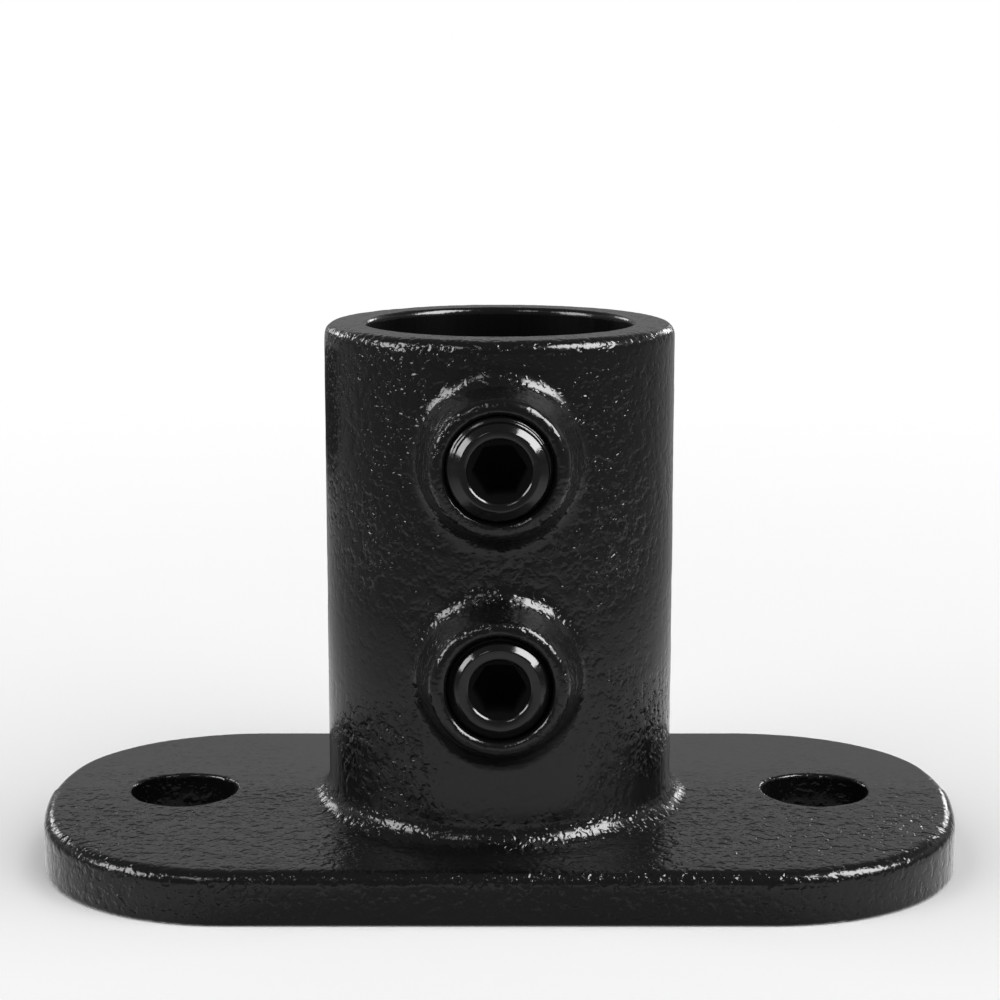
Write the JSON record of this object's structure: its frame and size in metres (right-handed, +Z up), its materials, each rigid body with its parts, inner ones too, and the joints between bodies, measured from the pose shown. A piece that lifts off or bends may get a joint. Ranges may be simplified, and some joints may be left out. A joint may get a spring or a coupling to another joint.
{
  "type": "tube clamp base flange",
  "caption": "Oval cast base flange with a round collar that holds an upright tube, gripped by two hexagon socket set screws.",
  "frame": {"origin": "on the collar's axis, in the plane of the underside", "axes": "+Z up the collar's axis, X along the plate through both fixing holes, set screws on the -Y side"},
  "size_m": [0.122, 0.0644, 0.0716],
  "materials": {
    "coated_casting": "gloss black coating over an as-cast, finely pebbled surface",
    "coated_screw": "gloss black coating over a turned steel screw"
  },
  "bodies": {
    "flange": {"flange_body": "coated_casting"},
    "lower_screw": {"lower_set_screw": "coated_screw"},
    "upper_screw": {"upper_set_screw": "coated_screw"}
  },
  "joints": [
    {"name": "lower_screw_travel", "type": "slide", "parent": "flange", "child": "lower_screw", "axis": [0, 1, 0], "range_m": [-0.008, 0.008]},
    {"name": "upper_screw_travel", "type": "slide", "parent": "flange", "child": "upper_screw", "axis": [0, 1, 0], "range_m": [-0.007, 0.009]}
  ]
}
